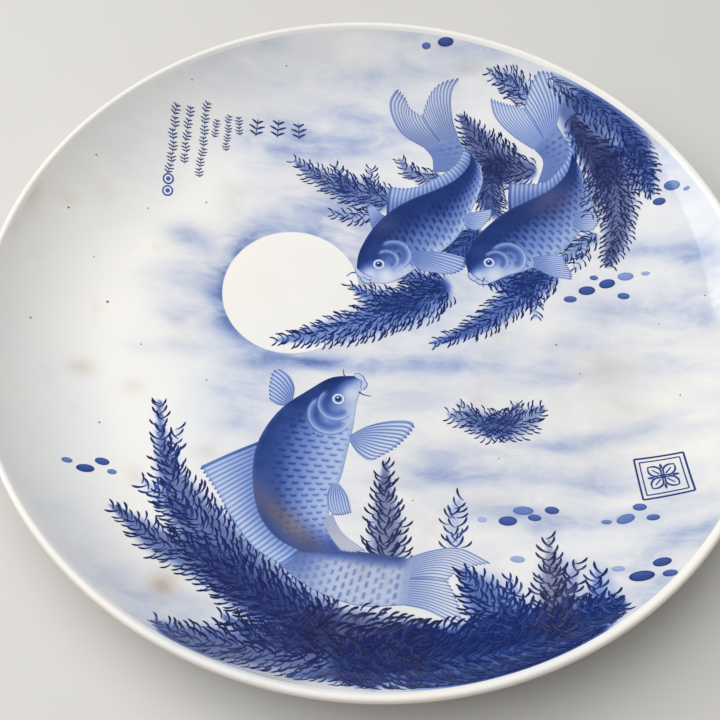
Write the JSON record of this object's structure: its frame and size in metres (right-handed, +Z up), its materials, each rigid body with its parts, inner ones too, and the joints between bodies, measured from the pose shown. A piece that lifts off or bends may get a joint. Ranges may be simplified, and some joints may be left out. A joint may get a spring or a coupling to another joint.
{
  "type": "painted porcelain dish",
  "caption": "Large round footed serving dish of glazed porcelain, with a wide shallow well, a bare white lip and blue painting of carp and waterweed.",
  "frame": {"origin": "on the dish's axis, in the plane that the foot ring rests on", "axes": "+Z up along the dish's axis of revolution; +Y towards the top of the painting, +X towards its right side"},
  "size_m": [0.4, 0.4, 0.046],
  "materials": {
    "porcelain_clay": "matt biscuit porcelain",
    "painted_face_glaze": "glossy clear glaze over cobalt blue brushwork",
    "clear_glaze": "glossy clear glaze over white clay"
  },
  "bodies": {
    "root": {"clay_body": "porcelain_clay", "foot_ring": "porcelain_clay", "face_glaze": "painted_face_glaze", "back_glaze": "clear_glaze", "recess_glaze": "clear_glaze"}
  },
  "joints": []
}
